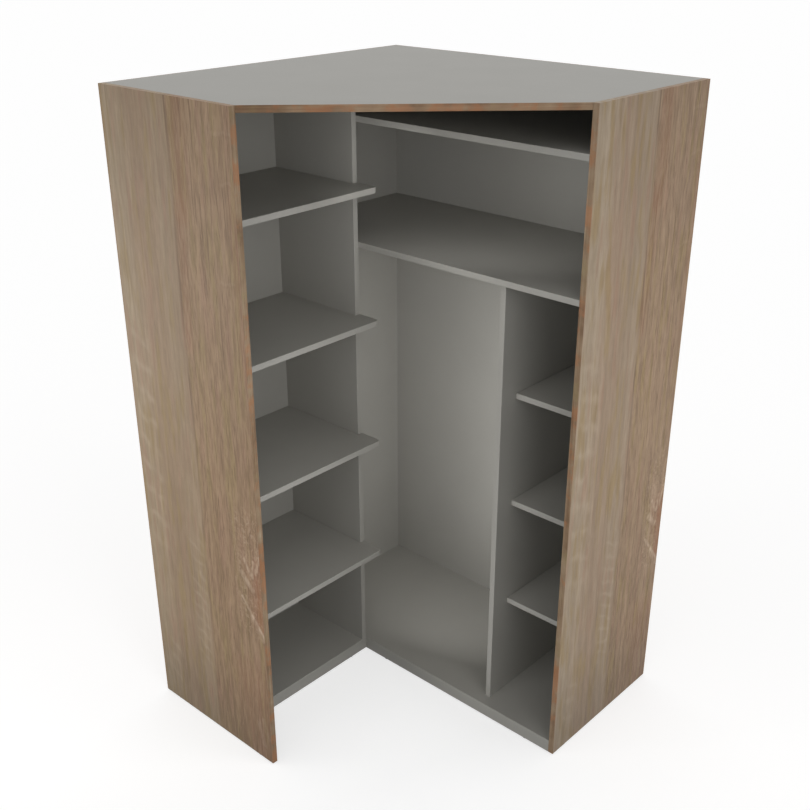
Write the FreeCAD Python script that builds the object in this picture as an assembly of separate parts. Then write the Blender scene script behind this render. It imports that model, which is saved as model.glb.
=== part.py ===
import FreeCAD, Part
import math
import os

# Corner wardrobe, in millimetres, +Z up. The origin is on the floor, at the middle of the outer box.
# Two walls meet at the room corner. Places are given as "across", the distance from the left wall,
# which grows along +X, and "along", the distance from the right wall, which grows along -Y.

# Overall sizes
left_run = 1160.0                 # room corner to the outside of the left side panel
right_run = 1160.0                # room corner to the outside of the right side panel
wardrobe_height = 2000.0
side_depth = 540.0                # wall to the front of each side panel, edge band included
board = 18.0                      # thickness of all boards but the backs
back_board = 3.0
edge_band = 1.5                   # oak strip glued on the front edges of the sides and the top
arris = 1.0                       # radius of the rounded front edges of the grey boards
band_arris_share = 0.7            # radius of the oak bands' front edges, of their thickness
chamfer_share = 0.6               # width of the left shelves' flat bevels, of that radius
glide_height = 3.0
plinth_height = 25.0              # rails between the glides and the floor boards

# Layout of the left arm
left_floor_depth = 341.0          # wall to the front of the floor, the plinth and the corner partition
shelf_overhang = 83.0             # how far the left shelves stand out past the corner partition
shelf_corner_radius = 12.0
left_shelf_shares = (0.209, 0.4213, 0.6337, 0.846)     # shelf tops, of the inner height

# Layout of the right arm
upper_shelf_shares = (0.7524, 0.9457)                  # shelf tops, of the inner height
small_bay_width = 268.0
short_partition_setback = 41.0    # its front edge lies behind the front of the floor
small_shelf_setback = 70.0        # the small shelves' front edge lies behind the short partition's
small_shelf_shares = (0.25, 0.5, 0.75)                 # shelf tops, of the height under the hat shelf

# Clearances
fit = 0.1                         # radial room of a pin, dowel or bolt in its hole
shelf_rest_gap = 0.3              # loose shelf above its pins
shelf_side_gap = 1.0              # loose shelf to the boards beside and behind it
rail_gap = 0.3                    # hanging rail in its cups
overrun = 1.0                     # how far a cutting tool runs past the face it opens
rod_sides = 12                    # flat sides of a small round fitting and of its hole, which repeat a lot

# Shelf pins
pin_radius = 2.5
pin_bite = 9.0                    # length inside the board
pin_reach = 9.0                   # length that carries the shelf
pin_inset = 45.0                  # from the rear and front edges of the boards that carry the pins

# Dowels
dowel_radius = 4.0
dowel_face_bite = 11.0            # depth in the face of a board
dowel_edge_bite = 19.0            # depth in the edge of a board
end_shares = (0.2, 0.8)           # places of a pair of fittings along its joint
inner_shares = (0.35, 0.65)       # places between those, where two joints cross

# Cam locks and their bolts
cam_radius = 7.5
cam_reach = 34.0                  # board end to the middle of the cam
cam_cover = 4.5                   # board left above a cam's pocket
cam_slot_width = 1.6
cam_slot_length = 9.0
cam_slot_depth = 2.0
bolt_bite = 11.0                  # threaded length in the side panel
bolt_thread_radius = 2.8
bolt_shaft_radius = 3.5
bolt_neck_radius = 2.2
bolt_neck_length = 4.0
bolt_head_length = 3.0
bolt_bore_radius = 4.0

# Hanging rail, an oval tube
rail_width = 15.0
rail_height = 30.0
rail_wall = 1.2
rail_drop = 60.0                  # underside of the hat shelf to the middle of the rail
rail_wall_gap = 30.0              # left wall to the back of the rail's drop hanger
plate = 3.0                       # thickness of the rail fittings' plates
cup_wall = 2.0
cup_length = 14.0
cup_rise_share = 0.9              # height of the cup's arms above the axis, of the rail's flat half height
socket_width = 58.0
socket_height = 26.0
socket_screw_spacing = 40.0
hanger_width = 30.0
hanger_flange = 62.0
hanger_screw_shares = (0.4, 0.8)  # places of the screws along the flange
screw_head_radius = 3.5
screw_head_height = 2.2
screw_radius = 1.6
screw_bite = 13.0

# Glides
glide_radius = 8.0
glide_shares = (0.12, 0.88)       # places along the board that stands on them

# Levels and lines that follow from these sizes
floor_low = glide_height + plinth_height
floor_top = floor_low + board
top_under = wardrobe_height - board
inner_height = top_under - floor_top
left_inner = left_run - board             # inner face of the left side panel, along
right_inner = right_run - board           # inner face of the right side panel, across
corner_right = side_depth                 # right face of the corner partition, along
corner_left = corner_right + board        # left face of the corner partition, along
short_right = right_inner - small_bay_width
short_left = short_right - board
short_front = side_depth - short_partition_setback
small_front = short_front - small_shelf_setback
left_front = left_floor_depth + shelf_overhang
hat_top, upper_top = (floor_top + share * inner_height for share in upper_shelf_shares)
hat_under = hat_top - board
pin_places_left = (back_board + pin_inset, left_floor_depth - pin_inset)
pin_places_small = (back_board + pin_inset, small_front - pin_inset)
rail_height_at = hat_under - rail_drop
rail_along = side_depth / 2
rail_start = rail_wall_gap + plate + rail_gap
rail_end = short_left - plate - rail_gap
cup_radius = rail_width / 2 + rail_gap

across_way = FreeCAD.Vector(1, 0, 0)
along_way = FreeCAD.Vector(0, -1, 0)
up_way = FreeCAD.Vector(0, 0, 1)

boards = {}
drillings = {}
fittings = {}


def spot(across, along, height):
    """A point of the model frame from its distances to the two walls and the floor."""
    return FreeCAD.Vector(across - right_run / 2, left_run / 2 - along, height)


def block(across, along, height):
    """A straight board between pairs of distances."""
    size = [pair[1] - pair[0] for pair in (across, along, height)]
    return Part.makeBox(*size, spot(across[0], along[1], height[0]))


def prism(outline, height):
    """An upright board whose outline is a list of (across, along) points."""
    points = [spot(across, along, height[0]) for across, along in outline]
    face = Part.Face(Part.makePolygon(points + points[:1]))
    return face.extrude(up_way * (height[1] - height[0]))


def front_edges(solid, way):
    """Long edges of the face that lies furthest along way."""
    front = max(vertex.Point.dot(way) for vertex in solid.Vertexes)
    edges = [edge for edge in solid.Edges if edge.Length > board * 2]
    return [edge for edge in edges if all(front - vertex.Point.dot(way) < fit for vertex in edge.Vertexes)]


def eased(solid, way, radius=arris):
    """A board with the long edges of its front rounded off."""
    return solid.makeFillet(radius, front_edges(solid, way))


def rod(point, way, radius, length):
    """A small round fitting, or the tool for its hole, as a prism of few sides along way."""
    lift = up_way if abs(way.z) < abs(way.x) + abs(way.y) else across_way
    turns = [2 * math.pi * side / rod_sides for side in range(rod_sides)]
    aside = way.cross(lift)
    points = [point + (lift * math.cos(turn) + aside * math.sin(turn)) * radius for turn in turns]
    face = Part.Face(Part.makePolygon(points + points[:1]))
    return face.extrude(way * length)


def cylinder(point, way, radius, length):
    return Part.makeCylinder(radius, length, point, way)


def between(low, high, shares):
    return [low + share * (high - low) for share in shares]


def drill(name, tool):
    drillings.setdefault(name, []).append(tool)


def fitting(name, solid):
    fittings.setdefault(name, []).append(solid)


def add_dowel(face_board, edge_board, point, way):
    """A dowel from the face of one board, along way, into the edge of another."""
    start = point - way * dowel_face_bite
    fitting("dowels", rod(start, way, dowel_radius, dowel_face_bite + dowel_edge_bite))
    drill(face_board, rod(start - way * fit, way, dowel_radius + fit, dowel_face_bite + fit))
    drill(edge_board, rod(point, way, dowel_radius + fit, dowel_edge_bite + fit))


def cam_bolt(point, way):
    """Bolt with a threaded end, a shaft, a neck and a head, standing out of a side panel's face."""
    shaft_length = cam_reach - bolt_head_length / 2 - bolt_neck_length
    stretches = (
        (bolt_thread_radius, bolt_bite),
        (bolt_shaft_radius, shaft_length),
        (bolt_neck_radius, bolt_neck_length),
        (bolt_shaft_radius, bolt_head_length),
    )
    start = point - way * bolt_bite
    pieces = []
    for radius, length in stretches:
        pieces.append(rod(start, way, radius, length))
        start = start + way * length
    return pieces[0].fuse(pieces[1:])


def cam_lock(middle, way, under):
    """Cam drum flush with the board's underside: a mouth for the bolt's head and a cross slot."""
    height = board - cam_cover
    drum = rod(FreeCAD.Vector(middle.x, middle.y, under), up_way, cam_radius, height)
    mouth_start = middle + way * bolt_head_length
    mouth = rod(mouth_start, way * -1, bolt_bore_radius, bolt_head_length + cam_radius + overrun)
    drum = drum.cut(mouth)
    for length, width in ((cam_slot_length, cam_slot_width), (cam_slot_width, cam_slot_length)):
        corner = FreeCAD.Vector(middle.x - length / 2, middle.y - width / 2, under - overrun)
        drum = drum.cut(Part.makeBox(length, width, cam_slot_depth + overrun, corner))
    return drum


def add_cam(side_panel, carried, point, way):
    """A cam lock in the end of a flat board, and its bolt in the side panel's face at point."""
    under = point.z - board / 2
    middle = point + way * cam_reach
    pocket_start = FreeCAD.Vector(middle.x, middle.y, under - overrun)
    pocket_depth = board - cam_cover + fit + overrun
    fitting("cam_bolts", cam_bolt(point, way))
    fitting("cam_locks", cam_lock(middle, way, under))
    drill(side_panel, rod(point, way * -1, bolt_thread_radius + fit, bolt_bite + fit))
    drill(carried, rod(point, way, bolt_bore_radius, cam_reach))
    drill(carried, rod(pocket_start, up_way, cam_radius + fit, pocket_depth))


def add_pin(name, carrier, point, way):
    """A plain steel pin whose axis lies under a loose shelf, in the face of a board at point."""
    fitting(name, rod(point - way * pin_bite, way, pin_radius, pin_bite + pin_reach))
    drill(carrier, rod(point, way * -1, pin_radius + fit, pin_bite + fit))


def make_sides():
    panel_height = (glide_height, wardrobe_height)
    band_start = side_depth - edge_band
    boards["left_side_panel"] = block((back_board, band_start), (left_inner, left_run), panel_height)
    left_band = block((band_start, side_depth), (left_inner, left_run), panel_height)
    boards["left_edge_band"] = eased(left_band, across_way, edge_band * band_arris_share)
    boards["right_side_panel"] = block((right_inner, right_run), (back_board, band_start), panel_height)
    right_band = block((right_inner, right_run), (band_start, side_depth), panel_height)
    boards["right_edge_band"] = eased(right_band, along_way, edge_band * band_arris_share)


def make_top():
    """Five-sided top between the side panels, with an oak band along its slanted front."""
    slant_across = right_inner - side_depth
    slant_along = left_inner - side_depth
    slant = math.hypot(slant_across, slant_along)
    band_across = edge_band * slant / slant_along
    band_along = edge_band * slant / slant_across
    left_tip = (side_depth, left_inner)
    right_tip = (right_inner, side_depth)
    left_tip_inside = (side_depth - band_across, left_inner)
    right_tip_inside = (right_inner, side_depth - band_along)
    rear = [(right_inner, back_board), (back_board, back_board), (back_board, left_inner)]
    height = (top_under, wardrobe_height)
    boards["top_panel"] = prism([left_tip_inside, right_tip_inside] + rear, height)
    band = prism([left_tip, right_tip, right_tip_inside, left_tip_inside], height)
    outward = across_way * (slant_along / slant) + along_way * (slant_across / slant)
    boards["top_edge_band"] = eased(band, outward, edge_band * band_arris_share)


def make_floor():
    """Two floor boards that form an L, on four plinth rails."""
    level = (floor_low, floor_top)
    left_across = (back_board, left_floor_depth)
    right_along = (back_board, side_depth)
    left_board = block(left_across, (corner_right, left_inner), level)
    right_board = block((back_board, right_inner), right_along, level)
    for name, solid, way in (("left", left_board, across_way), ("right", right_board, along_way)):
        upper = [edge for edge in front_edges(solid, way) if floor_top - edge.CenterOfMass.z < fit]
        boards[f"{name}_floor_board"] = solid.makeFillet(arris, upper)
    rails = (glide_height, floor_low)
    front_across = (left_floor_depth - board, left_floor_depth)
    rear_across = (back_board, back_board + board)
    front_along = (side_depth - board, side_depth)
    rear_along = (back_board, back_board + board)
    boards["left_front_plinth"] = block(front_across, (side_depth, left_inner), rails)
    boards["right_front_plinth"] = block((front_across[0], right_inner), front_along, rails)
    boards["left_rear_plinth"] = block(rear_across, (rear_along[1], left_inner), rails)
    boards["right_rear_plinth"] = block((back_board, right_inner), rear_along, rails)


def make_backs():
    height = (glide_height, wardrobe_height)
    boards["left_back_panel"] = block((0, back_board), (0, left_run), height)
    boards["right_back_panel"] = block((back_board, right_run), (0, back_board), height)


def make_partitions():
    tall = (floor_top, top_under)
    short = (floor_top, hat_under)
    corner = block((back_board, left_floor_depth), (corner_right, corner_left), tall)
    boards["corner_partition"] = eased(corner, across_way)
    upright = block((short_left, short_right), (back_board, short_front), short)
    boards["short_partition"] = eased(upright, along_way)


def make_fixed_shelves():
    across = (back_board, right_inner)
    along = (back_board, side_depth)
    boards["hat_shelf"] = eased(block(across, along, (hat_under, hat_top)), along_way)
    boards["upper_shelf"] = eased(block(across, along, (upper_top - board, upper_top)), along_way)


def left_shelf(level):
    """Loose shelf notched round the front of the corner partition, its free corner rounded."""
    rear = back_board + shelf_side_gap
    notch_across = left_floor_depth + shelf_side_gap
    notch_along = corner_left + shelf_side_gap
    far = left_inner - shelf_side_gap
    body = block((rear, left_front), (notch_along, far), (level - board, level))
    ear = block((notch_across, left_front), (corner_right, notch_along), (level - board, level))
    shelf = body.fuse(ear).removeSplitter()
    tip = spot(left_front, corner_right, level - board / 2)
    corner = [edge for edge in shelf.Edges if edge.CenterOfMass.distanceToPoint(tip) < overrun]
    shelf = shelf.makeFillet(shelf_corner_radius, corner)
    past_notch = spot(notch_across + fit, 0, 0).x
    level_edges = [edge for edge in shelf.Edges if edge.BoundBox.ZLength < fit]
    exposed = [edge for edge in level_edges if edge.CenterOfMass.x > past_notch]
    return shelf.makeChamfer(arris * chamfer_share, exposed)


def make_left_shelves():
    for number, share in enumerate(left_shelf_shares, 1):
        level = floor_top + share * inner_height
        boards[f"left_shelf_{number}"] = left_shelf(level)
        pin_level = level - board - shelf_rest_gap - pin_radius
        for across in pin_places_left:
            left_end = spot(across, left_inner, pin_level)
            right_end = spot(across, corner_left, pin_level)
            add_pin("left_shelf_pins", "left_side_panel", left_end, along_way * -1)
            add_pin("left_shelf_pins", "corner_partition", right_end, along_way)


def make_small_shelves():
    across = (short_right + shelf_side_gap, right_inner - shelf_side_gap)
    along_pair = (back_board + shelf_side_gap, small_front)
    for number, share in enumerate(small_shelf_shares, 1):
        level = floor_top + share * (hat_under - floor_top)
        boards[f"small_shelf_{number}"] = eased(block(across, along_pair, (level - board, level)), along_way)
        pin_level = level - board - shelf_rest_gap - pin_radius
        for along in pin_places_small:
            left_end = spot(short_right, along, pin_level)
            right_end = spot(right_inner, along, pin_level)
            add_pin("small_shelf_pins", "short_partition", left_end, across_way)
            add_pin("small_shelf_pins", "right_side_panel", right_end, across_way * -1)


def make_cam_joints():
    """Cam locks that pull the flat boards against the side panels."""
    floor_middle = floor_low + board / 2
    top_middle = top_under + board / 2
    for across in between(back_board, left_floor_depth, end_shares):
        add_cam("left_side_panel", "left_floor_board", spot(across, left_inner, floor_middle), along_way * -1)
    for across in between(back_board, side_depth, end_shares):
        add_cam("left_side_panel", "top_panel", spot(across, left_inner, top_middle), along_way * -1)
    joined = (
        ("right_floor_board", floor_middle),
        ("hat_shelf", hat_under + board / 2),
        ("top_panel", top_middle),
    )
    for name, middle in joined:
        for along in between(back_board, side_depth, end_shares):
            add_cam("right_side_panel", name, spot(right_inner, along, middle), across_way * -1)


def make_dowel_joints():
    """Dowels that place the partitions, the floor boards and the upper shelf."""
    corner_middle = corner_right + board / 2
    short_middle = short_left + board / 2
    floor_middle = floor_low + board / 2
    upper_middle = upper_top - board / 2
    for across in between(back_board, left_floor_depth, end_shares):
        add_dowel("left_floor_board", "corner_partition", spot(across, corner_middle, floor_top), up_way)
        add_dowel("top_panel", "corner_partition", spot(across, corner_middle, top_under), up_way * -1)
        for name, middle in (("hat_shelf", hat_under + board / 2), ("upper_shelf", upper_middle)):
            add_dowel("corner_partition", name, spot(across, corner_right, middle), along_way * -1)
    for along in between(back_board, short_front, end_shares):
        add_dowel("right_floor_board", "short_partition", spot(short_middle, along, floor_top), up_way)
        add_dowel("hat_shelf", "short_partition", spot(short_middle, along, hat_under), up_way * -1)
    for along in between(back_board, side_depth, end_shares):
        add_dowel("right_side_panel", "upper_shelf", spot(right_inner, along, upper_middle), across_way * -1)
    for across in between(back_board, left_floor_depth, inner_shares):
        point = spot(across, corner_right, floor_middle)
        add_dowel("right_floor_board", "left_floor_board", point, along_way)


def oval(half_width, half_height, start, length):
    """Solid bar of oval section along +X, its axis on the rail's line."""
    straight = half_height - half_width
    bar = Part.makeBox(length, half_width * 2, straight * 2,
                       spot(start, rail_along + half_width, rail_height_at - straight))
    for side in (-straight, straight):
        end = spot(start, rail_along, rail_height_at + side)
        bar = bar.fuse(cylinder(end, across_way, half_width, length))
    return bar.removeSplitter()


def rail_cup(start, length):
    """Open-topped cup that the rail drops into."""
    half_height = rail_height / 2 + rail_gap
    outside = oval(cup_radius + cup_wall, half_height + cup_wall, start, length)
    inside = oval(cup_radius, half_height, start - overrun, length + overrun * 2)
    rim = rail_height_at + (rail_height - rail_width) / 2 * cup_rise_share
    reach = cup_radius + cup_wall + overrun
    above = block((start - overrun, start + length + overrun), (rail_along - reach, rail_along + reach),
                  (rim, rim + rail_height))
    return outside.cut(inside).cut(above)


def add_screw(carrier, fixture, point, way):
    """Round-headed screw along way, its head on a plate and its end in a board at point."""
    head_face = point - way * plate
    head = rod(head_face - way * screw_head_height, way, screw_head_radius, screw_head_height)
    shank = rod(head_face, way, screw_radius, plate + screw_bite)
    fitting("rail_screws", head.fuse(shank))
    drill(carrier, rod(point, way, screw_radius + fit, screw_bite + fit))
    drill(fixture, rod(head_face - way * overrun, way, screw_radius + fit, plate + overrun * 2))


def make_rail():
    """Hanging rail, the socket on the short partition and the hanger under the hat shelf."""
    half_width = rail_width / 2
    half_height = rail_height / 2
    length = rail_end - rail_start
    bore = oval(half_width - rail_wall, half_height - rail_wall, rail_start - overrun, length + overrun * 2)
    boards["hanging_rail"] = oval(half_width, half_height, rail_start, length).cut(bore)

    socket_across = (short_left - plate, short_left)
    straight = socket_width / 2 - socket_height / 2
    sole = block(socket_across, (rail_along - straight, rail_along + straight),
                 (rail_height_at - socket_height / 2, rail_height_at + socket_height / 2))
    for side in (-straight, straight):
        end = spot(socket_across[0], rail_along + side, rail_height_at)
        sole = sole.fuse(cylinder(end, across_way, socket_height / 2, plate))
    boards["rail_socket"] = sole.fuse(rail_cup(socket_across[0] - cup_length, cup_length)).removeSplitter()
    for side in (-socket_screw_spacing / 2, socket_screw_spacing / 2):
        add_screw("short_partition", "rail_socket", spot(short_left, rail_along + side, rail_height_at),
                  across_way)

    hanger_along = (rail_along - hanger_width / 2, rail_along + hanger_width / 2)
    stem_across = (rail_wall_gap, rail_wall_gap + plate)
    flange_end = rail_wall_gap + hanger_flange
    cup_low = rail_height_at - half_height - rail_gap - cup_wall
    stem = block(stem_across, hanger_along, (cup_low, hat_under))
    flange = block((rail_wall_gap, flange_end), hanger_along, (hat_under - plate, hat_under))
    cup = rail_cup(stem_across[1], cup_length)
    boards["rail_hanger"] = stem.fuse(flange).fuse(cup).removeSplitter()
    for across in between(rail_wall_gap, flange_end, hanger_screw_shares):
        add_screw("hat_shelf", "rail_hanger", spot(across, rail_along, hat_under), up_way)


def make_glides():
    """Round plastic glides, a pair under each board that reaches the floor."""
    left_middle = left_run - board / 2
    right_middle = right_run - board / 2
    rear_middle = back_board + board / 2
    places = []
    for depth in between(back_board, side_depth, glide_shares):
        places += [(depth, left_middle), (right_middle, depth)]
    for along in between(side_depth, left_inner, glide_shares):
        places += [(left_floor_depth - board / 2, along), (rear_middle, along)]
    for across in between(left_floor_depth, right_inner, glide_shares):
        places += [(across, side_depth - board / 2), (across, rear_middle)]
    for across, along in places:
        fitting("floor_glides", rod(spot(across, along, 0), up_way, glide_radius, glide_height))


make_sides()
make_top()
make_floor()
make_backs()
make_partitions()
make_fixed_shelves()
make_left_shelves()
make_small_shelves()
make_cam_joints()
make_dowel_joints()
make_rail()
make_glides()

os.makedirs("parts", exist_ok=True)
for name, shape in boards.items():
    if name in drillings:
        shape = shape.cut(drillings[name])
    shape.exportStep(f"parts/{name}.step")
for name, solids in fittings.items():
    Part.makeCompound(solids).exportStep(f"parts/{name}.step")
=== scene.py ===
import math

import bmesh
import bpy
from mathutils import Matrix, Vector


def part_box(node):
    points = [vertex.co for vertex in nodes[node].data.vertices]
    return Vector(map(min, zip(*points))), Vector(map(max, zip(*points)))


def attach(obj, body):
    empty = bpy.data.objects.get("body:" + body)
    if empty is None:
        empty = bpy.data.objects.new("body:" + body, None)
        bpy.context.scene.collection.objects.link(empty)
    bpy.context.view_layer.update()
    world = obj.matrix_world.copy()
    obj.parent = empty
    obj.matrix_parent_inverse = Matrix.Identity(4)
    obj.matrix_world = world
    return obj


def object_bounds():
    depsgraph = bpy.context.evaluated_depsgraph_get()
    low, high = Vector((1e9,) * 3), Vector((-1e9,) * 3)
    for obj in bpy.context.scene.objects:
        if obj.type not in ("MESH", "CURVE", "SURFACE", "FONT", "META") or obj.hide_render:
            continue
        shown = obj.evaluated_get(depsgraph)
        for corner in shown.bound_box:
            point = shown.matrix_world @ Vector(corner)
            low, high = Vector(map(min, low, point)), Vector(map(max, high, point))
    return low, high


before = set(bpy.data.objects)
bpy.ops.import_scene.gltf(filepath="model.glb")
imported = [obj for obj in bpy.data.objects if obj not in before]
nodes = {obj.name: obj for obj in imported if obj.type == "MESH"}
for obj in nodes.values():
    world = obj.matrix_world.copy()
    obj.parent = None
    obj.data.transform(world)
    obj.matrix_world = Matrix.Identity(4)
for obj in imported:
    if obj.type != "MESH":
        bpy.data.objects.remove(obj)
cad_low, cad_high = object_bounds()

# View of the photograph, worked out from its straight edges, in metres and degrees
IMAGE_SIZE = 810
CAMERA_PLACE = (2.050, -2.257, 2.434)
CAMERA_AZIMUTH = 42.25
CAMERA_ELEVATION = 25.23
CAMERA_SENSOR = 36.0
FOCAL_PIXELS = 1100.4
AXIS_PIXEL = (407.8, 420.0)

# Light: an even dome and three soft lamps round the front, in degrees, metres and watts
DOME_LEVEL = 0.74
LAMPS = {
    "left_lamp": {"azimuth": -40.0, "elevation": 0.0, "power": 4.7},
    "front_lamp": {"azimuth": 65.0, "elevation": 20.0, "power": 2.3},
    "right_lamp": {"azimuth": 105.0, "elevation": 0.0, "power": 3.15},
}
LAMP_DISTANCE = 3.0
LAMP_SIDE = 1.2
LAMP_SPREAD = 75.0

# Lamps that open up the bays, with powers fitted to the photograph
BAY_LAMPS = {
    "hanging_bay_lamp": {
        "place": (0.05, 0.14, 0.80),
        "aim": (-0.10, 0.62, 0.80),
        "size": (0.36, 1.15),
        "spread": 180.0,
        "power": 2.5,
    },
    "hat_bay_lamp": {
        "place": (0.15, 0.05, 1.76),
        "aim": (-0.20, 0.52, 1.55),
        "size": (0.60, 0.18),
        "spread": 180.0,
        "power": 0.36,
    },
    "top_bay_lamp": {
        "place": (1.00, -1.00, 1.85),
        "aim": (-0.10, 0.10, 1.75),
        "size": (0.60, 0.60),
        "spread": 45.0,
        "power": 0.26,
    },
    "arm_bay_lamp": {
        "place": (0.32, -0.45, 0.95),
        "aim": (0.32, 0.50, 0.95),
        "size": (0.46, 1.85),
        "spread": 50.0,
        "power": 0.70,
    },
    "shelf_bay_lamp": {
        "place": (0.30, -0.33, 1.05),
        "aim": (-0.45, -0.08, 1.05),
        "size": (0.25, 1.5),
        "spread": 180.0,
        "power": 1.35,
    },
}

# Floor: seen as white with part of its shadow, while it throws back less light onto the object
FLOOR_HALF = 60.0
FLOOR_DROP = 0.0005
FLOOR_SEEN = 1.0
FLOOR_BOUNCE = 0.32
FLOOR_GLOW = 1.24
FLOOR_SHADOW_SHARE = 0.5


def srgb(red, green, blue):
    """Linear colour of a screen colour from 0 to 255."""
    def linear(level):
        share = level / 255
        return share / 12.92 if share <= 0.04045 else ((share + 0.055) / 1.055) ** 2.4
    return (linear(red), linear(green), linear(blue), 1.0)


def even(rate):
    """The same rate along all three axes."""
    return (rate, rate, rate)


# Most of a noise lies between the two levels of USUAL_NOISE, round NOISE_MIDDLE
USUAL_NOISE = (0.3, 0.7)
NOISE_MIDDLE = 0.5
# How much faster than red the other colours fall off in a warm shade
WARM_GREEN = 1.1
WARM_BLUE = 1.25


class Shader:
    """A material, with short calls that add its nodes and give back their outputs."""

    def __init__(self, name, roughness=0.5, specular=0.5, metallic=0.0):
        self.material = bpy.data.materials.new(name)
        self.material.use_nodes = True
        self.tree = self.material.node_tree
        self.surface = self.tree.nodes["Principled BSDF"]
        self.surface.inputs["Roughness"].default_value = roughness
        self.surface.inputs["Specular IOR Level"].default_value = specular
        self.surface.inputs["Metallic"].default_value = metallic

    def feed(self, socket, value):
        if isinstance(value, bpy.types.NodeSocket):
            self.tree.links.new(value, socket)
        else:
            socket.default_value = value

    def node(self, kind, inputs, **settings):
        made = self.tree.nodes.new("ShaderNode" + kind)
        for key, value in settings.items():
            setattr(made, key, value)
        for key, value in inputs.items():
            self.feed(made.inputs[key], value)
        return made

    def math(self, operation, first, second=0.0, third=0.0):
        return self.node("Math", {0: first, 1: second, 2: third}, operation=operation).outputs[0]

    def times(self, first, second):
        return self.math("MULTIPLY", first, second)

    def blend(self, first, second, first_share):
        """Mean of two values, with the share that the first one has in it."""
        return self.math("ADD", self.times(first, first_share), self.times(second, 1.0 - first_share))

    def centred(self, noise):
        """A noise that swings round zero."""
        return self.math("SUBTRACT", noise, NOISE_MIDDLE)

    def place(self):
        """X, Y and Z of the piece in the model frame."""
        point = self.node("TexCoord", {}).outputs["Object"]
        return self.node("SeparateXYZ", {0: point}).outputs

    def vector(self, x, y, z):
        return self.node("CombineXYZ", {0: x, 1: y, 2: z}).outputs[0]

    def stretched(self, place, rates):
        """A vector whose parts run at their own rates, in waves per metre."""
        return self.vector(*(self.times(part, rate) for part, rate in zip(place, rates)))

    def grain(self, place, rates, detail=2.0, roughness=0.5, distortion=0.0):
        """Noise over a place, at its own rate along each axis."""
        values = {"Vector": self.stretched(place, rates), "Scale": 1.0, "Detail": detail,
                  "Roughness": roughness, "Distortion": distortion}
        return self.node("TexNoise", values).outputs["Fac"]

    def flakes(self, place, rates):
        """A level of its own for each of many cells."""
        cells = self.node("TexVoronoi", {"Vector": self.stretched(place, rates), "Scale": 1.0})
        return self.node("RGBToBW", {0: cells.outputs["Color"]}).outputs[0]

    def fade(self, value, start, end, low=0.0, high=1.0):
        """Smooth step from low at start to high at end."""
        values = {"Value": value, "From Min": start, "From Max": end, "To Min": low, "To Max": high}
        return self.node("MapRange", values, interpolation_type="SMOOTHSTEP").outputs["Result"]

    def window(self, value, middle, half, soft):
        """1 within half of the middle, and 0 beyond a soft edge."""
        distance = self.math("ABSOLUTE", self.math("SUBTRACT", value, middle))
        return self.fade(distance, half + soft, half)

    def ramp(self, value, stops):
        made = self.node("ValToRGB", {"Fac": value})
        elements = made.color_ramp.elements
        while len(elements) < len(stops):
            elements.new(1.0)
        for element, (position, colour) in zip(elements, stops):
            element.position = position
            element.color = colour
        return made.outputs["Color"]

    def mix(self, factor, first, second, blend="MIX"):
        made = self.node("Mix", {0: factor, 6: first, 7: second}, data_type="RGBA", blend_type=blend)
        return made.outputs[2]

    def shade(self, colour, level):
        """The colour made darker or lighter by a level near 1."""
        return self.mix(1.0, colour, self.vector(level, level, level), "MULTIPLY")

    def warm_shade(self, colour, level):
        """As shade, but a darker level turns to brown and a lighter one to cream."""
        green = self.math("POWER", level, WARM_GREEN)
        blue = self.math("POWER", level, WARM_BLUE)
        return self.mix(1.0, colour, self.vector(level, green, blue), "MULTIPLY")

    def bump(self, height, distance):
        made = self.node("Bump", {"Height": height, "Distance": distance, "Strength": 1.0})
        self.feed(self.surface.inputs["Normal"], made.outputs["Normal"])

    def dress(self, colour, roughness=None):
        self.feed(self.surface.inputs["Base Color"], colour)
        if roughness is not None:
            self.feed(self.surface.inputs["Roughness"], roughness)
        return self.material


# Oak look of the end panels, in metres from the panel's left edge and from the floor
OAK_WIDTH = 0.54
OAK_TONES = (
    (0.00, srgb(158, 141, 120)),
    (0.06, srgb(158, 142, 121)),
    (0.16, srgb(156, 138, 117)),
    (0.23, srgb(151, 131, 110)),
    (0.36, srgb(149, 129, 108)),
    (0.42, srgb(153, 135, 114)),
    (0.515, srgb(155, 136, 115)),
    (0.545, srgb(146, 123, 99)),
    (0.66, srgb(151, 127, 102)),
    (0.88, srgb(153, 129, 105)),
    (1.00, srgb(148, 123, 99)),
)
OAK_BROWN_FROM = (0.515, 0.550)
# Colour of each panel's copy of the oak: a warmer hue on the left, and on the right painted light, a lift
# in brightness over the whole panel
OAK_TINTS_AND_LIGHT = {"left": (1.01, 0.97, 0.90, 1.0), "right": (1.04, 1.04, 1.05, 1.0)}
# Painted shade near the floor: below the first height the oak grows darker, down to the second level at the
# floor, standing in for the shade that falls there
OAK_PAINTED_FOOT_HEIGHT = 0.36
OAK_PAINTED_FOOT_SHADE = 0.77
OAK_LINE = srgb(98, 74, 52)
OAK_GOLD = srgb(149, 127, 91)
OAK_PINK = srgb(156, 124, 102)
OAK_RED = srgb(148, 98, 68)
OAK_FLECK = srgb(190, 172, 150)
OAK_CREAM = srgb(206, 182, 158)
OAK_BUMP = 0.00006

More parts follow.
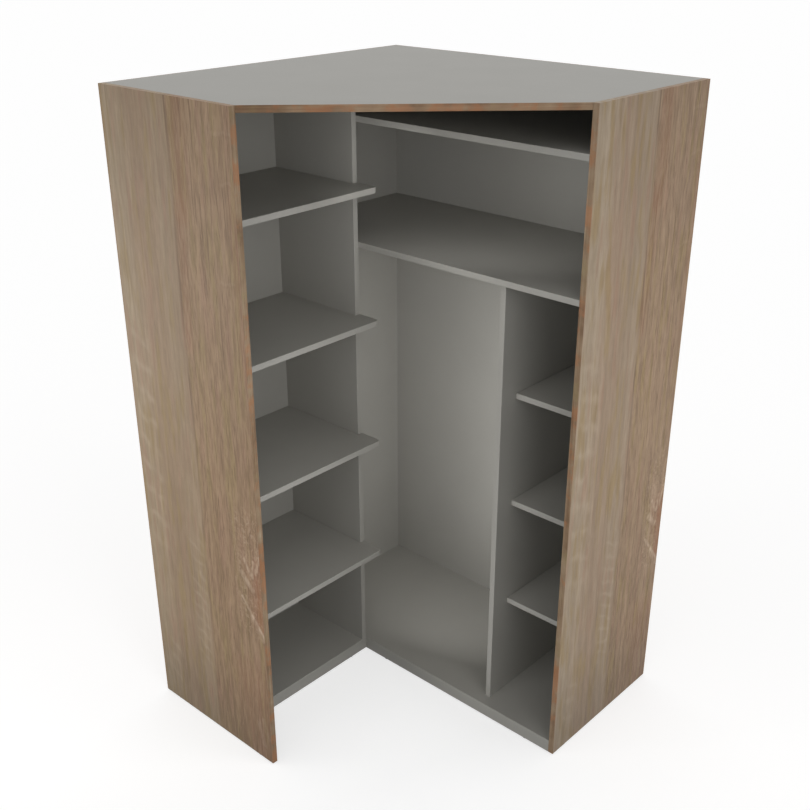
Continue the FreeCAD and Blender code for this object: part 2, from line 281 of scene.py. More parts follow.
# Noises of the oak: waves per metre across, through and along it, then detail, roughness and distortion
OAK_GRAIN = {
    "wobble": ((26.0, 26.0, 14.0), 2.0),
    "drift": ((4.0, 4.0, 1.3), 1.0),
    "broad": ((48.0, 48.0, 1.0), 2.0),
    "streaks": ((120.0, 120.0, 15.0), 3.0, 0.6),
    "threads": ((200.0, 200.0, 3.2), 1.0),
    "hues": ((46.0, 46.0, 5.0), 2.0),
    "fine": ((640.0, 640.0, 26.0), 2.0, 0.6),
    "dashes": ((330.0, 330.0, 18.0), 1.0),
    "pores": ((1500.0, 1500.0, 60.0), 1.0),
    "fleck_gaps": ((22.0, 16.0, 0.0), 1.0),
    "seam": ((0.0, 3.2, 0.0), 2.0),
    "ripple": ((85.0, 85.0, 60.0), 2.0, 0.5, 1.0),
    "shiver": ((70.0, 0.0, 45.0), 2.0),
}
OAK_LAYERS = ("broad", "streaks", "threads", "hues", "fine", "dashes", "pores")
# Fades of the oak's noises: start and end, then the levels there where they aren't 0 and 1
OAK_FADES = {
    "broad": (0.28, 0.72, 0.91, 1.09),
    "gold": (0.50, 0.68, 0.0, 0.75),
    "pink": (0.46, 0.28, 0.0, 0.50),
    "streaks": (0.30, 0.70),
    "threads": (0.58, 0.78),
    "dashes": (0.58, 0.72),
    "pores": (0.58, 0.72),
    "fine": (0.3, 0.7, 0.96, 1.06),
    "gloss": (0.2, 0.8, 0.50, 0.62),
    "fleck": (0.22, 0.5),
    "fleck_gaps": (0.34, 0.62, 0.2, 1.0),
    "seam": (0.38, 0.62, 0.25, 1.0),
    "dark_ripple": (0.52, 0.68),
    "pale_ripple": (0.46, 0.32),
    "broken": (0.25, 0.60, 1.0, 0.45),
    "ragged": (-0.16, 0.06, 0.45, 1.0),
    "frayed": (0.36, 0.62, 0.50, 1.0),
}
# Strength of the dark marks in the pale half and in the brown half
OAK_MARKS = {"threads": (0.24, 0.62), "dashes": (0.10, 0.42), "pores": (0.14, 0.30)}
# Depth of the streaks in the pale half, and what the brown half adds to it
OAK_CONTRAST = 0.16
OAK_BROWN_CONTRAST = 0.16
# How far the drift bends the grain and the wobble the border of the halves
OAK_LEAN = 0.016
OAK_WAVER = 0.004
# Share of the wobble in the strokes' unrest, and how far that moves them to the side and up
OAK_SHAKE = 1.6
OAK_SHAKE_SIDE = 0.010
OAK_SHAKE_UP = -0.014

# The seam between the pale and the brown half, which fades out downwards
OAK_SEAM = {
    "middle": 0.286,
    "half": 0.0012,
    "soft": 0.0055,
    "strength": 0.55,
    "low": 0.30,
    "high": 1.20,
    "low_level": 0.15,
}
# Ladders of ray flecks, one above the other, that slant down to the right:
# middle, half width, low, high, slope, spacing, strength
OAK_LADDERS = (
    (0.062, 0.054, 0.55, 1.40, 0.36, 0.085, 0.27),
    (0.242, 0.040, 0.22, 0.72, 0.50, 0.045, 0.25),
    (0.065, 0.052, 0.05, 0.26, 0.80, 0.065, 0.20),
)
LADDER_WOBBLE = 0.05
LADDER_HALF_WAVE = 0.5
# Full and soft part of a ladder, as shares of its half width and of its half height
LADDER_SIDE_SHARES = (0.5, 0.7)
LADDER_HEIGHT_SHARES = (0.7, 0.4)
# Pale strokes round the knots: start, end, half thickness, strength
OAK_STROKES = (
    ((0.450, 0.586), (0.540, 0.474), 0.0050, 0.78),
    ((0.490, 0.530), (0.535, 0.468), 0.0110, 0.46),
    ((0.458, 0.668), (0.500, 0.626), 0.0095, 0.60),
    ((0.470, 0.724), (0.492, 0.682), 0.0060, 0.60),
    ((0.500, 0.676), (0.512, 0.726), 0.0060, 0.52),
    ((0.518, 0.690), (0.538, 0.756), 0.0060, 0.58),
    ((0.486, 0.140), (0.502, 0.060), 0.0100, 0.24),
    ((0.508, 0.155), (0.528, 0.092), 0.0090, 0.20),
    ((0.470, 1.930), (0.530, 1.934), 0.0050, 0.11),
    ((0.478, 1.808), (0.522, 1.812), 0.0050, 0.10),
    ((0.460, 1.550), (0.515, 1.556), 0.0050, 0.10),
)
# Dark hairlines: start, end, half thickness, strength
OAK_HAIRLINES = (
    ((0.342, 2.000), (0.345, 1.905), 0.0034, 0.45),
    ((0.399, 1.770), (0.396, 1.500), 0.0030, 0.42),
    ((0.404, 1.480), (0.400, 1.395), 0.0026, 0.34),
    ((0.383, 1.365), (0.380, 1.240), 0.0026, 0.30),
    ((0.106, 2.000), (0.104, 1.760), 0.0030, 0.24),
    ((0.128, 1.820), (0.126, 1.660), 0.0026, 0.18),
    ((0.468, 1.280), (0.470, 1.120), 0.0026, 0.24),
    ((0.332, 0.300), (0.330, 0.090), 0.0030, 0.30),
)
# Reddish places: start, end, half thickness, strength
OAK_BLUSHES = (
    ((0.326, 2.000), (0.326, 1.700), 0.028, 0.30),
    ((0.312, 1.740), (0.298, 1.330), 0.020, 0.24),
    ((0.534, 0.725), (0.534, 0.505), 0.022, 0.75),
    ((0.500, 0.700), (0.515, 0.520), 0.030, 0.30),
    ((0.470, 0.280), (0.500, 0.020), 0.080, 0.26),
    ((0.535, 1.800), (0.535, 1.300), 0.020, 0.22),
    ((0.110, 1.680), (0.130, 1.450), 0.030, 0.12),
)
# Where a stroke ends and where it is full, in half thicknesses, and the shadow below a pale one
STROKE_END = 1.6
STROKE_FULL = 0.3
SHADOW_DROP = 1.6
SHADOW_STRENGTH = 0.5
# Rippled grain round the knots
OAK_BURL = {
    "side": 0.500,
    "side_half": 0.040,
    "height": 0.680,
    "height_half": 0.180,
    "soft": 0.060,
    "strength": 0.27,
}


def oak_stroke(oak, point, start, end, half):
    """1 on a soft stroke between two places of the panel, and 0 away from it."""
    first = Vector((*start, 0.0))
    run = Vector((*end, 0.0)) - first
    from_first = oak.node("VectorMath", {0: point, 1: first}, operation="SUBTRACT").outputs[0]
    rate = oak.node("VectorMath", {0: from_first, 1: run / run.length_squared}, operation="DOT_PRODUCT")
    share = oak.node("Clamp", {0: rate.outputs["Value"]}).outputs[0]
    nearest = oak.node("VectorMath", {0: run, "Scale": share}, operation="SCALE").outputs[0]
    distance = oak.node("VectorMath", {0: from_first, 1: nearest}, operation="DISTANCE").outputs["Value"]
    return oak.fade(distance, half * STROKE_END, half * STROKE_FULL)


def lay_stroke(oak, colour, point, stroke, gaps, tone):
    """Lays one stroke of a tone over the colour, with gaps along it."""
    start, end, half, strength = stroke
    level = oak.times(oak_stroke(oak, point, start, end, half), gaps)
    return oak.mix(oak.times(level, strength), colour, tone)


def stroke_shadow(stroke):
    """The dark stroke below a pale one."""
    start, end, half, strength = stroke
    below = [(side + half, height - half * SHADOW_DROP) for side, height in (start, end)]
    return (*below, half, strength * SHADOW_STRENGTH)


def oak_ladder(oak, colour, side, height, wobble, ladder):
    """Soft ray flecks, one above the other, of uneven strength."""
    middle, half, low, high, slope, spacing, strength = ladder
    half_height = (high - low) / 2
    slant = oak.math("MULTIPLY_ADD", side, slope, height)
    phase = oak.math("DIVIDE", oak.math("MULTIPLY_ADD", wobble, LADDER_WOBBLE, slant), spacing)
    fleck = oak.fade(oak.math("PINGPONG", phase, LADDER_HALF_WAVE), *OAK_FADES["fleck"])
    across = oak.window(side, middle, *(half * share for share in LADDER_SIDE_SHARES))
    along = oak.window(height, (low + high) / 2, *(half_height * share for share in LADDER_HEIGHT_SHARES))
    gaps = oak.fade(oak.grain((side, slant, height), *OAK_GRAIN["fleck_gaps"]), *OAK_FADES["fleck_gaps"])
    shape = oak.times(oak.times(fleck, across), oak.times(along, gaps))
    return oak.mix(oak.times(shape, strength), colour, OAK_FLECK)


def oak_seam(oak, colour, share, height):
    """Dark line between the two halves, uneven along its length."""
    line = oak.window(oak.times(share, OAK_WIDTH), OAK_SEAM["middle"], OAK_SEAM["half"], OAK_SEAM["soft"])
    uneven = oak.fade(oak.grain((share, height, height), *OAK_GRAIN["seam"]), *OAK_FADES["seam"])
    fading = oak.fade(height, OAK_SEAM["low"], OAK_SEAM["high"], OAK_SEAM["low_level"], 1.0)
    level = oak.times(line, oak.times(uneven, fading))
    return oak.mix(oak.times(level, OAK_SEAM["strength"]), colour, OAK_LINE)


def oak_burl(oak, colour, spread):
    """Ripples of dark and pale grain in one patch of the panel."""
    side, _, height = spread
    patch = oak.times(oak.window(side, OAK_BURL["side"], OAK_BURL["side_half"], OAK_BURL["soft"]),
                      oak.window(height, OAK_BURL["height"], OAK_BURL["height_half"], OAK_BURL["soft"]))
    level = oak.times(patch, OAK_BURL["strength"])
    ripple = oak.grain(spread, *OAK_GRAIN["ripple"])
    colour = oak.mix(oak.times(level, oak.fade(ripple, *OAK_FADES["dark_ripple"])), colour, OAK_LINE)
    return oak.mix(oak.times(level, oak.fade(ripple, *OAK_FADES["pale_ripple"])), colour, OAK_CREAM)


def oak_figure(oak, colour, side, height, wobble, streaks):
    """Adds the ray flecks, the hairlines, the blushes and the knots to the plain grain."""
    for ladder in OAK_LADDERS:
        colour = oak_ladder(oak, colour, side, height, wobble, ladder)
    shiver = oak.centred(oak.grain((side, wobble, height), *OAK_GRAIN["shiver"]))
    shake = oak.math("MULTIPLY_ADD", wobble, OAK_SHAKE, shiver)
    point = oak.vector(oak.math("MULTIPLY_ADD", shake, OAK_SHAKE_SIDE, side),
                       oak.math("MULTIPLY_ADD", shake, OAK_SHAKE_UP, height), 0.0)
    broken = oak.fade(streaks, *OAK_FADES["broken"])
    ragged = oak.times(oak.fade(shiver, *OAK_FADES["ragged"]), oak.fade(streaks, *OAK_FADES["frayed"]))
    for hairline in OAK_HAIRLINES:
        colour = lay_stroke(oak, colour, point, hairline, broken, OAK_LINE)
    for blush in OAK_BLUSHES:
        colour = lay_stroke(oak, colour, point, blush, broken, OAK_RED)
    for stroke in OAK_STROKES:
        colour = lay_stroke(oak, colour, point, stroke_shadow(stroke), ragged, OAK_LINE)
        colour = lay_stroke(oak, colour, point, stroke, ragged, OAK_CREAM)
    return colour


def oak_marks(oak, colour, layers, brown, kind):
    """Dark marks of one kind, which are stronger in the brown half."""
    marks = oak.fade(layers[kind], *OAK_FADES[kind])
    strength = oak.fade(brown, 0.0, 1.0, *OAK_MARKS[kind])
    return oak.mix(oak.times(marks, strength), colour, OAK_LINE)


def oak_plain_grain(oak, colour, layers, brown):
    """Adds broad bands, hues, streaks and dark marks."""
    colour = oak.warm_shade(colour, oak.fade(layers["broad"], *OAK_FADES["broad"]))
    colour = oak.mix(oak.fade(layers["hues"], *OAK_FADES["gold"]), colour, OAK_GOLD)
    colour = oak.mix(oak.fade(layers["hues"], *OAK_FADES["pink"]), colour, OAK_PINK)
    contrast = oak.math("MULTIPLY_ADD", brown, OAK_BROWN_CONTRAST, OAK_CONTRAST)
    swing = oak.centred(oak.fade(layers["streaks"], *OAK_FADES["streaks"]))
    colour = oak.warm_shade(colour, oak.math("MULTIPLY_ADD", swing, contrast, 1.0))
    colour = oak_marks(oak, colour, layers, brown, "threads")
    colour = oak_marks(oak, colour, layers, brown, "dashes")
    colour = oak.shade(colour, oak.fade(layers["fine"], *OAK_FADES["fine"]))
    return oak_marks(oak, colour, layers, brown, "pores")


def oak_panel(name, across, through, start, tint):
    """Oak-look foil of an end panel, which runs from start along the axis across."""
    oak = Shader(name + "_oak", specular=0.3)
    place = oak.place()
    side = oak.math("SUBTRACT", place[across], start)
    height = place["Z"]
    spread = (side, place[through], height)
    wobble = oak.centred(oak.grain(spread, *OAK_GRAIN["wobble"]))
    drift = oak.centred(oak.grain(spread, *OAK_GRAIN["drift"]))
    leaning = oak.math("MULTIPLY_ADD", drift, OAK_LEAN, side)
    share = oak.math("DIVIDE", oak.math("MULTIPLY_ADD", wobble, OAK_WAVER, leaning), OAK_WIDTH)
    brown = oak.fade(share, *OAK_BROWN_FROM)
    bent = (leaning, place[through], height)
    layers = {layer: oak.grain(bent, *OAK_GRAIN[layer]) for layer in OAK_LAYERS}

    # The tint warms the left panel and, as painted light, brightens the right one as a whole
    colour = oak.mix(1.0, oak.ramp(share, OAK_TONES), tint, "MULTIPLY")
    colour = oak_plain_grain(oak, colour, layers, brown)
    colour = oak_seam(oak, colour, share, height)
    colour = oak_burl(oak, colour, spread)
    colour = oak_figure(oak, colour, side, height, wobble, layers["streaks"])
    # Painted shade: the oak grows darker towards the floor
    colour = oak.shade(colour, oak.fade(height, 0.0, OAK_PAINTED_FOOT_HEIGHT, OAK_PAINTED_FOOT_SHADE, 1.0))
    pores = oak.fade(layers["pores"], *OAK_FADES["pores"])
    oak.bump(oak.math("SUBTRACT", layers["fine"], pores), OAK_BUMP)
    return oak.dress(colour, oak.fade(layers["fine"], *OAK_FADES["gloss"]))


# Oak look of the edge bands: tones, waves per metre, fades, and depth of the bumps in metres
BAND_TONES = (
    (0.28, srgb(96, 70, 48)),
    (0.42, srgb(126, 101, 76)),
    (0.52, srgb(142, 119, 94)),
    (0.62, srgb(155, 134, 109)),
    (0.76, srgb(186, 167, 144)),
)
BAND_ORANGE = srgb(160, 108, 70)
BAND_OLIVE = srgb(140, 124, 88)
BAND_TINTS = {"side": (1.0, 1.0, 1.0, 1.0), "top": (0.93, 0.87, 0.82, 1.0)}
BAND = {
    "across": 150.0,
    "along": 4.0,
    "finer": 6,
    "patch": 16.0,
    "hue": 12.0,
    "grain_share": 0.5,
    "fine": (0.92, 1.06),
    "orange": (0.49, 0.62, 0.0, 0.62),
    "olive": (0.46, 0.34, 0.0, 0.50),
    "gloss": (0.2, 0.8, 0.46, 0.56),
    "bump": 0.00005,
}


def oak_band(name, along, tint):
    """Oak-look edge band with its grain along the edge, mottled in orange and olive."""
    band = Shader(name + "_oak", specular=0.35)
    place = tuple(band.place())
    rates = [BAND["along"] if axis in along else BAND["across"] for axis in "XYZ"]
    grain = band.grain(place, rates, detail=3.0, roughness=0.6)
    patch = band.grain(place, even(BAND["patch"]), detail=3.0)
    fine = band.grain(place, [rate * BAND["finer"] for rate in rates])
    hue = band.grain(place, even(BAND["hue"]), detail=4.0, roughness=0.6)
    tone = band.blend(grain, patch, BAND["grain_share"])
    colour = band.shade(band.ramp(tone, BAND_TONES), band.fade(fine, *USUAL_NOISE, *BAND["fine"]))
    colour = band.mix(band.fade(hue, *BAND["orange"]), colour, BAND_ORANGE)
    colour = band.mix(band.fade(hue, *BAND["olive"]), colour, BAND_OLIVE)
    colour = band.mix(1.0, colour, tint, "MULTIPLY")
    band.bump(fine, BAND["bump"])
    return band.dress(colour, band.fade(fine, *BAND["gloss"]))


# Boards and backs: tones, waves per metre, fades, and depth of the bumps in metres
MELAMINE = {
    "grey": srgb(158, 156, 150),
    "shade": srgb(156, 154, 148),
    "cloud": 6.0,
    "pearl": 900.0,
    "speck": 260.0,
    "speckle": (0.985, 1.015),
    "gloss": (0.2, 0.8, 0.44, 0.56),
    "bump": 0.00005,
}
CHIPBOARD = {
    "tones": ((0.1, srgb(138, 104, 68)), (0.5, srgb(176, 142, 98)), (0.9, srgb(208, 178, 134))),
    "flakes": (420.0, 420.0, 700.0),
    "dust": 1800.0,
    "dusting": (0.86, 1.06),
    "bump": 0.0003,
}
HARDBOARD = {
    "tones": ((0.25, srgb(138, 110, 82)), (0.5, srgb(154, 124, 92)), (0.75, srgb(170, 140, 106))),
    "cloud": 14.0,
    "cloud_share": 0.25,
    "fibre": (620.0, 620.0, 240.0),
    "gloss": (0.68, 0.82),
    "bump": 0.00015,
}


def melamine():
    """Matt grey melamine with a fine pearl grain."""
    grey = Shader("grey_melamine", roughness=0.5, specular=0.35)
    place = tuple(grey.place())
    cloud = grey.grain(place, even(MELAMINE["cloud"]), detail=3.0)
    pearl = grey.grain(place, even(MELAMINE["pearl"]))
    speck = grey.grain(place, even(MELAMINE["speck"]))
    colour = grey.mix(grey.fade(cloud, *USUAL_NOISE), MELAMINE["shade"], MELAMINE["grey"])
    colour = grey.shade(colour, grey.fade(speck, *USUAL_NOISE, *MELAMINE["speckle"]))
    grey.bump(pearl, MELAMINE["bump"])
    return grey.dress(colour, grey.fade(speck, *MELAMINE["gloss"]))


def chipboard():
    """Raw chipboard, seen in drilled holes and on edges that face another board."""
    chip = Shader("raw_chipboard", roughness=0.85, specular=0.2)
    place = tuple(chip.place())
    flakes = chip.flakes(place, CHIPBOARD["flakes"])
    dust = chip.grain(place, even(CHIPBOARD["dust"]))
    colour = chip.ramp(flakes, CHIPBOARD["tones"])
    colour = chip.shade(colour, chip.fade(dust, *USUAL_NOISE, *CHIPBOARD["dusting"]))
    chip.bump(chip.math("ADD", flakes, dust), CHIPBOARD["bump"])
    return chip.dress(colour)


def hardboard():
    """Raw brown hardboard on the wall side of the backs."""
    hard = Shader("raw_hardboard", roughness=0.75, specular=0.25)
    place = tuple(hard.place())
    cloud = hard.grain(place, even(HARDBOARD["cloud"]), detail=4.0)
    fibre = hard.grain(place, HARDBOARD["fibre"], detail=3.0, roughness=0.65, distortion=1.2)
    colour = hard.ramp(hard.blend(cloud, fibre, HARDBOARD["cloud_share"]), HARDBOARD["tones"])
    hard.bump(fibre, HARDBOARD["bump"])
    return hard.dress(colour, hard.fade(fibre, *USUAL_NOISE, *HARDBOARD["gloss"]))


# Metals: bright and dull colour, least and most roughness, blotches per metre
METALS = {
    "chrome": (srgb(226, 227, 229), srgb(206, 207, 210), 0.06, 0.16, 40.0),
    "plated_steel": (srgb(204, 204, 200), srgb(178, 178, 172), 0.26, 0.40, 160.0),
    "cast_zinc": (srgb(178, 180, 184), srgb(150, 152, 156), 0.42, 0.56, 220.0),
}
METAL_BLOTCH = (0.25, 0.75)
METAL_FINER = 12
METAL_BUMP = 0.00001
# Other fittings, with the same kinds of values as the boards
BEECH = {
    "tones": ((0.3, srgb(196, 150, 106)), (0.7, srgb(220, 182, 138))),
    "grain": (700.0, 700.0, 120.0),
    "bump": 0.00005,
}
PLASTIC = {
    "tones": ((0.3, srgb(44, 44, 45)), (0.7, srgb(58, 58, 59))),
    "grain": 900.0,
    "gloss": (0.45, 0.6),
    "bump": 0.00008,
}


def metal(name):
    """Metal with faint blotches in its colour and gloss."""
    bright, dull, smooth, rough, rate = METALS[name]
    plate = Shader(name, metallic=1.0)
    place = tuple(plate.place())
    blotch = plate.grain(place, even(rate), detail=3.0)
    plate.bump(plate.grain(place, even(rate * METAL_FINER)), METAL_BUMP)
    colour = plate.mix(plate.fade(blotch, *USUAL_NOISE), dull, bright)
    return plate.dress(colour, plate.fade(blotch, *METAL_BLOTCH, rough, smooth))


def beech():
    """Plain beech of the dowels."""
    wood = Shader("plain_beech", roughness=0.6)
    grain = wood.grain(tuple(wood.place()), BEECH["grain"], detail=3.0)
    wood.bump(grain, BEECH["bump"])
    return wood.dress(wood.ramp(grain, BEECH["tones"]))


def plastic():
    """Black moulded plastic of the glides."""
    moulded = Shader("glide_plastic", roughness=0.5)
    grain = moulded.grain(tuple(moulded.place()), even(PLASTIC["grain"]))
    moulded.bump(grain, PLASTIC["bump"])
    gloss = moulded.fade(grain, *USUAL_NOISE, *PLASTIC["gloss"])
    return moulded.dress(moulded.ramp(grain, PLASTIC["tones"]), gloss)


# Which way each board's banded edges face. The other edges meet another board and stay raw.
BANDED = {
    "top_panel": (),
    "left_floor_board": ((1, 0, 0),),
    "right_floor_board": ((0, -1, 0),),
    "corner_partition": ((1, 0, 0),),
    "short_partition": ((0, -1, 0),),
    "hat_shelf": ((0, -1, 0),),
    "upper_shelf": ((0, -1, 0),),
}
# Axis of the boards' thickness, which is Z where none is given
THICKNESS_AXIS = {"corner_partition": 1, "short_partition": 0}
LEFT_SHELVES = 4
SMALL_SHELVES = 3
# Room for a face on an outer plane and for a rounded edge, in metres, and the least share of its facing
ON_FACE = 0.0002
ROUNDED = 0.0015
FACING = 0.7


def paint(name, choose, materials):
    """Gives each face of a node the material that choose picks from its middle and its normal."""
    mesh = nodes[name].data
    mesh.materials.clear()
    for material in materials:
        mesh.materials.append(material)
    for face in mesh.polygons:
        face.material_index = materials.index(choose(face.center, face.normal))


def on_outside(box, point):
    """True if a point lies on one of the outer planes of a box."""
    return any(abs(point[axis] - corner[axis]) < ON_FACE for corner in box for axis in range(3))


def reach(box, way):
    """How far a box goes along one of the axes."""
    return max(corner.dot(Vector(way)) for corner in box)


def paint_board(name, grey, raw):
    """Grey faces and banded edges, with raw chipboard in holes and on hidden edges."""
    thickness = THICKNESS_AXIS.get(name, 2)
    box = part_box(name)

    def choose(point, normal):
        if any(reach(box, way) - point.dot(Vector(way)) < ROUNDED for way in BANDED[name]):
            return grey
        return grey if on_outside(box, point) and abs(normal[thickness]) > FACING else raw

    paint(name, choose, (grey, raw))


def paint_left_shelf(name, grey, raw):
    """Raw on the edges against the back, the side panel and the corner partition, grey in front of that."""
    partition_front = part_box("corner_partition")[1].x

    def choose(point, normal):
        if normal.x < -FACING or normal.y < -FACING:
            return raw
        return raw if normal.y > FACING and point.x < partition_front else grey

    paint(name, choose, (grey, raw))


def paint_small_shelf(name, grey, raw):
    """Raw on the edges against the back and the two uprights."""
    def choose(point, normal):
        return raw if normal.y > FACING or abs(normal.x) > FACING else grey

    paint(name, choose, (grey, raw))


def paint_side(name, outward, oak, grey, raw):
    """Oak on the outside and the top edge, grey inside, raw below, behind and in the holes."""
    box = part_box(name)

    def choose(point, normal):
        if not on_outside(box, point):
            return raw
        if normal.dot(Vector(outward)) > FACING or normal.z > FACING:
            return oak
        return grey if normal.dot(Vector(outward)) < -FACING else raw

    paint(name, choose, (oak, grey, raw))


def paint_back(name, outward, grey, brown):
    """Grey towards the inside, and raw hardboard on the wall side and the edges."""
    def choose(point, normal):
        return grey if normal.dot(Vector(outward)) < -FACING else brown

    paint(name, choose, (grey, brown))


def paint_all(material, *names):
    for name in names:
        paint(name, lambda point, normal: material, (material,))


def dress_boards():
    """Materials of the boards, the bands and the backs."""
    grey = melamine()
    raw = chipboard()
    brown = hardboard()
    left_oak = oak_panel("left_side", "X", "Y", cad_low.x, OAK_TINTS_AND_LIGHT["left"])
    right_oak = oak_panel("right_side", "Y", "X", cad_high.y - OAK_WIDTH, OAK_TINTS_AND_LIGHT["right"])
    paint_side("left_side_panel", (0, -1, 0), left_oak, grey, raw)
    paint_side("right_side_panel", (1, 0, 0), right_oak, grey, raw)
    paint_all(oak_band("side_band", "Z", BAND_TINTS["side"]), "left_edge_band", "right_edge_band")
    paint_all(oak_band("top_band", "XY", BAND_TINTS["top"]), "top_edge_band")
    for name in BANDED:
        paint_board(name, grey, raw)
    for number in range(1, LEFT_SHELVES + 1):
        paint_left_shelf(f"left_shelf_{number}", grey, raw)
    for number in range(1, SMALL_SHELVES + 1):
        paint_small_shelf(f"small_shelf_{number}", grey, raw)
    plinths = [f"{arm}_{place}_plinth" for arm in ("left", "right") for place in ("front", "rear")]
    paint_all(grey, *plinths)
    paint_back("left_back_panel", (-1, 0, 0), grey, brown)
    paint_back("right_back_panel", (0, 1, 0), grey, brown)


def dress_fittings():
    """Materials of the fittings. Gives back the steel, which the nails have too."""
    chrome, steel, zinc = (metal(name) for name in METALS)
    paint_all(chrome, "hanging_rail", "rail_socket", "rail_hanger")
    paint_all(steel, "left_shelf_pins", "small_shelf_pins", "rail_screws", "cam_bolts")
    paint_all(zinc, "cam_locks")
    paint_all(beech(), "dowels")
    paint_all(plastic(), "floor_glides")
    return steel


# Nails that hold the backs, in metres
NAIL_SPACING = 0.15
NAIL_INSET = 0.05
NAIL_RADIUS = 0.0024
NAIL_HEIGHT = 0.0008
NAIL_SIDES = 10
# Rings of a head: radius and height as shares, from the base that is sunk in the back to the crown
NAIL_RING_SHARES = ((1.0, -0.4), (1.0, 0.0), (0.86, 0.62), (0.45, 0.93))


def spread_out(low, high):
    """Even places between two ends, near the usual spacing."""
    count = max(1, round((high - low - 2 * NAIL_INSET) / NAIL_SPACING))
    step = (high - low - 2 * NAIL_INSET) / count
    return [low + NAIL_INSET + step * number for number in range(count + 1)]


def nail_places(run, level_boards, upright_boards):
    """Places of the nails of one back, as pairs of the distance along it and the height."""
    places = []
    for name in level_boards:
        low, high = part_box(name)
        places += [(at, (low.z + high.z) / 2) for at in spread_out(low[run], high[run])]
    for name in upright_boards:
        low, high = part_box(name)
        places += [((low[run] + high[run]) / 2, at) for at in spread_out(low.z, high.z)]
    return places


def nail_ring(mesh, middle, aside, up, radius):
    """Corners of one ring of a nail's head."""
    turns = [2 * math.pi * number / NAIL_SIDES for number in range(NAIL_SIDES)]
    ways = [aside * math.cos(turn) + up * math.sin(turn) for turn in turns]
    return [mesh.verts.new(middle + way * radius) for way in ways]


def nail_head(mesh, place, outward, aside):
    """A low domed head on the wall side of a back."""
    up = outward.cross(aside)
    rings = [nail_ring(mesh, place + outward * (NAIL_HEIGHT * rise), aside, up, NAIL_RADIUS * width)
             for width, rise in NAIL_RING_SHARES]
    for outer, inner in zip(rings, rings[1:]):
        for number in range(NAIL_SIDES):
            following = (number + 1) % NAIL_SIDES
            mesh.faces.new((outer[number], outer[following], inner[following], inner[number]))
    mesh.faces.new(rings[0])
    mesh.faces.new(rings[-1])


def add_nails(steel):
    """One piece with the heads of all the nails that hold the two backs."""
    mesh = bmesh.new()
    left = nail_places(1, ("left_floor_board", "top_panel", "hat_shelf", "upper_shelf"),
                       ("left_side_panel", "corner_partition"))
    for at, height in left:
        nail_head(mesh, Vector((cad_low.x, at, height)), Vector((-1, 0, 0)), Vector((0, 1, 0)))
    right = nail_places(0, ("right_floor_board", "top_panel", "hat_shelf", "upper_shelf"),
                        ("right_side_panel", "short_partition"))
    for at, height in right:
        nail_head(mesh, Vector((at, cad_high.y, height)), Vector((0, 1, 0)), Vector((1, 0, 0)))
    bmesh.ops.recalc_face_normals(mesh, faces=mesh.faces)
    data = bpy.data.meshes.new("back_nails")
    mesh.to_mesh(data)
    mesh.free()
    data.materials.append(steel)
    nails = bpy.data.objects.new("back_nails", data)
    bpy.context.scene.collection.objects.link(nails)
    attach(nails, "carcass")


def away(azimuth, elevation):
    """Unit vector from the object towards a viewer or a lamp."""
    turn = math.radians(azimuth)
    lift = math.radians(elevation)
    return Vector((math.sin(turn) * math.cos(lift), -math.cos(turn) * math.cos(lift), math.sin(lift)))


def add_camera():
    data = bpy.data.cameras.new("photo_camera")
    camera = bpy.data.objects.new("photo_camera", data)
    bpy.context.scene.collection.objects.link(camera)
    camera.location = CAMERA_PLACE
    camera.rotation_mode = "QUATERNION"
    camera.rotation_quaternion = (-away(CAMERA_AZIMUTH, CAMERA_ELEVATION)).to_track_quat("-Z", "Y")
    data.sensor_width = CAMERA_SENSOR
    data.lens = FOCAL_PIXELS / IMAGE_SIZE * CAMERA_SENSOR
    data.shift_x = 0.5 - AXIS_PIXEL[0] / IMAGE_SIZE
    data.shift_y = AXIS_PIXEL[1] / IMAGE_SIZE - 0.5
    data.clip_end = FLOOR_HALF * 2
    bpy.context.scene.camera = camera


def add_lamp(name, place, target, size, spread, power):
    data = bpy.data.lights.new(name, "AREA")
    data.shape = "RECTANGLE"
    data.size, data.size_y = size
    data.spread = math.radians(spread)
    data.energy = power
    light = bpy.data.objects.new(name, data)
    light.location = place
    light.rotation_mode = "QUATERNION"
    light.rotation_quaternion = (Vector(target) - Vector(place)).to_track_quat("-Z", "Y")
    light.visible_camera = False
    bpy.context.scene.collection.objects.link(light)
    return light


def add_lamps():
    """The lamps round the front, and those at the bays, which no mirror shows."""
    target = cad_low.lerp(cad_high, 0.5)
    for name, lamp in LAMPS.items():
        place = target + away(lamp["azimuth"], lamp["elevation"]) * LAMP_DISTANCE
        add_lamp(name, place, target, (LAMP_SIDE, LAMP_SIDE), LAMP_SPREAD, lamp["power"])
    for name, lamp in BAY_LAMPS.items():
        bay = add_lamp(name, lamp["place"], lamp["aim"], lamp["size"], lamp["spread"], lamp["power"])
        bay.visible_glossy = False


def seen_directly(tree):
    """1 where the camera, a mirror or glass looks at the stage, 0 where it only lights the object."""
    path = tree.nodes.new("ShaderNodeLightPath")
    seen = path.outputs["Is Camera Ray"]
    for ray in ("Is Glossy Ray", "Is Transmission Ray"):
        either = tree.nodes.new("ShaderNodeMath")
        either.operation = "MAXIMUM"
        tree.links.new(seen, either.inputs[0])
        tree.links.new(path.outputs[ray], either.inputs[1])
        seen = either.outputs[0]
    return seen


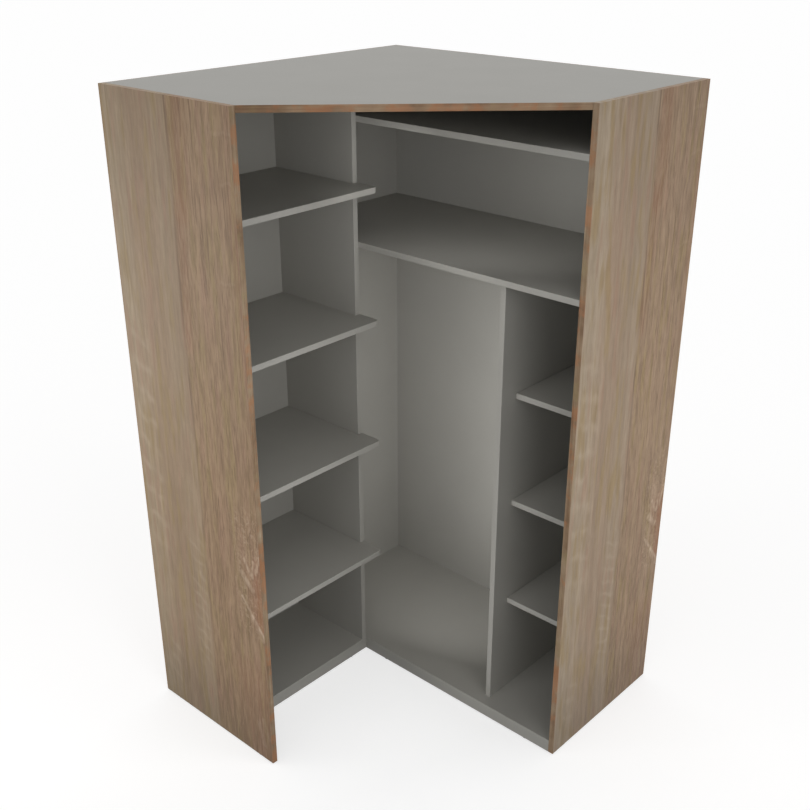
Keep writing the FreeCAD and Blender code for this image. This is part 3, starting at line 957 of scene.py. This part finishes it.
def by_sight(tree, hidden, shown):
    """A level that differs between light and sight."""
    level = tree.nodes.new("ShaderNodeMapRange")
    level.inputs["To Min"].default_value = hidden
    level.inputs["To Max"].default_value = shown
    tree.links.new(seen_directly(tree), level.inputs["Value"])
    return level.outputs["Result"]


def add_world():
    """White where it is seen, and dimmer as the dome that lights the object."""
    world = bpy.data.worlds.new("studio")
    bpy.context.scene.world = world
    world.use_nodes = True
    tree = world.node_tree
    background = tree.nodes["Background"]
    background.inputs["Color"].default_value = (1.0, 1.0, 1.0, 1.0)
    tree.links.new(by_sight(tree, DOME_LEVEL, 1.0), background.inputs["Strength"])


def floor_material():
    """Pale floor: seen as white with a soft shadow, and of middling bounce."""
    material = bpy.data.materials.new("studio_floor")
    material.use_nodes = True
    tree = material.node_tree
    tree.nodes.remove(tree.nodes["Principled BSDF"])
    matt = tree.nodes.new("ShaderNodeBsdfDiffuse")
    tree.links.new(by_sight(tree, FLOOR_BOUNCE, FLOOR_SEEN), matt.inputs["Color"])
    glow = tree.nodes.new("ShaderNodeEmission")
    glow.inputs["Strength"].default_value = FLOOR_GLOW
    mixed = tree.nodes.new("ShaderNodeMixShader")
    tree.links.new(by_sight(tree, 0.0, 1.0 - FLOOR_SHADOW_SHARE), mixed.inputs[0])
    tree.links.new(matt.outputs[0], mixed.inputs[1])
    tree.links.new(glow.outputs[0], mixed.inputs[2])
    tree.links.new(mixed.outputs[0], tree.nodes["Material Output"].inputs["Surface"])
    return material


def add_floor():
    mesh = bpy.data.meshes.new("studio_floor")
    half = FLOOR_HALF
    corners = [(-half, -half, 0), (half, -half, 0), (half, half, 0), (-half, half, 0)]
    mesh.from_pydata(corners, [], [(0, 1, 2, 3)])
    mesh.materials.append(floor_material())
    floor = bpy.data.objects.new("studio_floor", mesh)
    floor.location.z = cad_low.z - FLOOR_DROP
    bpy.context.scene.collection.objects.link(floor)


dress_boards()
add_nails(dress_fittings())
add_camera()
add_lamps()
add_world()
add_floor()

bpy.context.scene.view_settings.view_transform = "Standard"
